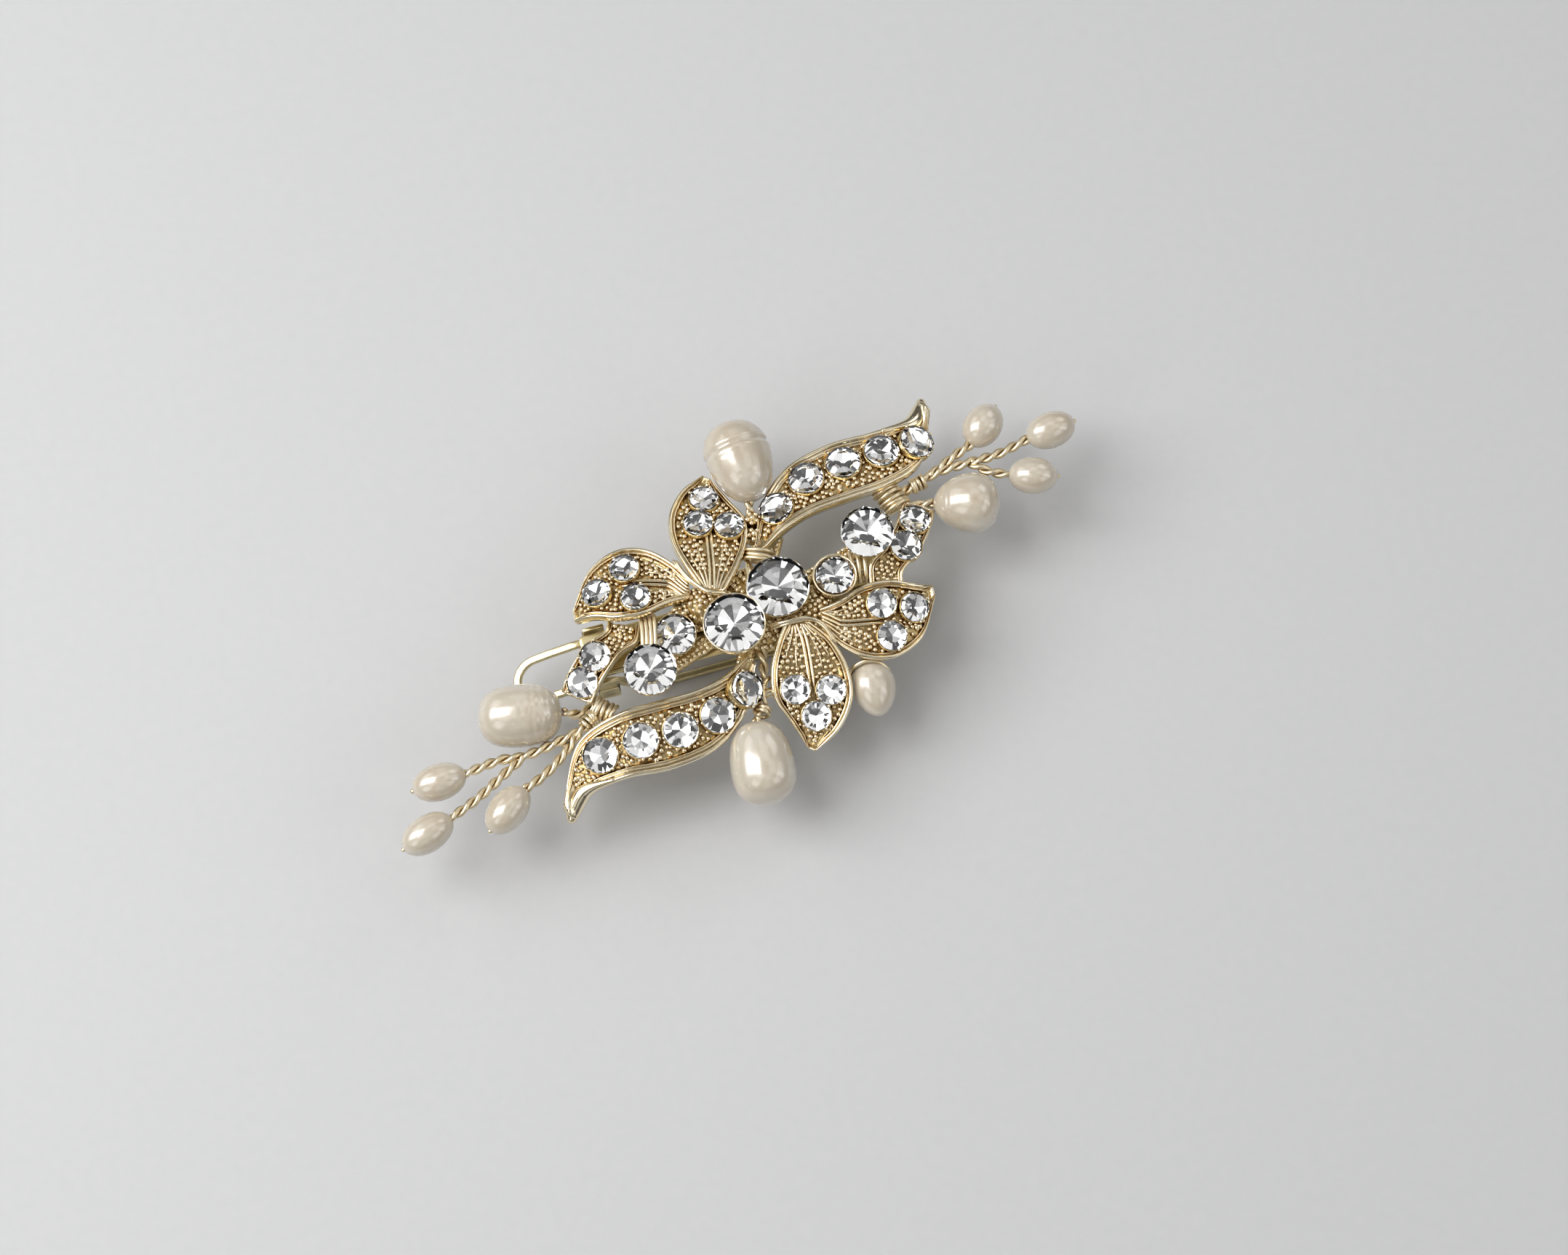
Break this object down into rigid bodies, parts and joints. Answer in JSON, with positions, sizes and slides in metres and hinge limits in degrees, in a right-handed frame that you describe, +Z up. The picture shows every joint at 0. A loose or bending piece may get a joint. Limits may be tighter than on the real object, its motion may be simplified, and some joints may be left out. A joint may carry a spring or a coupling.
{
  "type": "hair barrette",
  "caption": "Hair barrette: a cast gold-tone flower spray set with clear crystals and wired freshwater pearls, on a French spring clip whose arm swings open and latches.",
  "frame": {"origin": "middle of the bounding box in plan, at the height of the clasp arm's flat underside", "axes": "+X along the clip from its loop end towards its hinge, +Y across it, +Z up out of the flower"},
  "size_m": [0.0912, 0.0465, 0.0185],
  "materials": {
    "cast_gold": "pale gold plating, polished rims and grained floors",
    "clip_brass": "polished stamped brass",
    "spring_steel": "plated spring strip",
    "wire_gold": "satin craft wire",
    "crystal": "clear faceted crystal with a foiled back",
    "pearl": "ivory nacre"
  },
  "bodies": {
    "flower_and_plate": {"center_cup_left": "cast_gold", "center_cup_right": "cast_gold", "center_stone_left": "crystal", "center_stone_right": "crystal", "flower_base": "cast_gold", "hinge_pin": "spring_steel", "lashing_left": "wire_gold", "lashing_right": "wire_gold", "leaf_back": "cast_gold", "leaf_back_stone_1": "crystal", "leaf_back_stone_2": "crystal", "leaf_back_stone_3": "crystal", "leaf_front": "cast_gold", "leaf_front_stone_1": "crystal", "leaf_front_stone_2": "crystal", "leaf_front_stone_3": "crystal", "leaf_left": "cast_gold", "leaf_left_stone_1": "crystal", "leaf_left_stone_2": "crystal", "leaf_left_stone_3": "crystal", "leaf_right": "cast_gold", "leaf_right_stone_1": "crystal", "leaf_right_stone_2": "crystal", "leaf_right_stone_3": "crystal", "pearl_back": "pearl", "pearl_button": "pearl", "pearl_front": "pearl", "pearl_left": "pearl", "pearl_right": "pearl", "pearl_stem_back": "wire_gold", "pearl_stem_button": "wire_gold", "pearl_stem_front": "wire_gold", "pearl_stem_left": "wire_gold", "pearl_stem_right": "wire_gold", "ribbon_long_back": "cast_gold", "ribbon_long_front": "cast_gold", "ribbon_short_left": "cast_gold", "ribbon_short_right": "cast_gold", "rice_pearl_left_1": "pearl", "rice_pearl_left_2": "pearl", "rice_pearl_left_3": "pearl", "rice_pearl_right_1": "pearl", "rice_pearl_right_2": "pearl", "rice_pearl_right_3": "pearl", "side_cup_left": "cast_gold", "side_cup_right": "cast_gold", "side_stone_left": "crystal", "side_stone_right": "crystal", "spray_stem_left": "wire_gold", "spray_stem_right": "wire_gold", "top_plate": "clip_brass", "wired_cup_left": "cast_gold", "wired_cup_right": "cast_gold", "wired_stone_left": "crystal", "wired_stone_right": "crystal"},
    "clasp_arm": {"clasp_arm": "clip_brass"},
    "tension_spring": {"tension_spring": "spring_steel"},
    "latch_wing_front": {"latch_wing_front": "clip_brass"},
    "latch_wing_back": {"latch_wing_back": "clip_brass"}
  },
  "joints": [
    {"name": "clasp_hinge", "type": "hinge", "parent": "flower_and_plate", "child": "clasp_arm", "pos_m": [0.01876, 0.00033, 0.0073], "axis": [0, -1, 0], "range_deg": [0, 75]},
    {"name": "tension_spring_flex", "type": "slide", "parent": "flower_and_plate", "child": "tension_spring", "axis": [0, 0, 1], "range_m": [0, 0.0007], "stiffness_N_per_m": 800},
    {"name": "latch_wing_front_flex", "type": "hinge", "parent": "flower_and_plate", "child": "latch_wing_front", "pos_m": [-0.01684, -0.00312, 0.00935], "axis": [-1, 0, 0], "range_deg": [0, 8], "stiffness_Nm_per_rad": 0.02},
    {"name": "latch_wing_back_flex", "type": "hinge", "parent": "flower_and_plate", "child": "latch_wing_back", "pos_m": [-0.01684, 0.00378, 0.00935], "axis": [1, 0, 0], "range_deg": [0, 8], "stiffness_Nm_per_rad": 0.02}
  ]
}
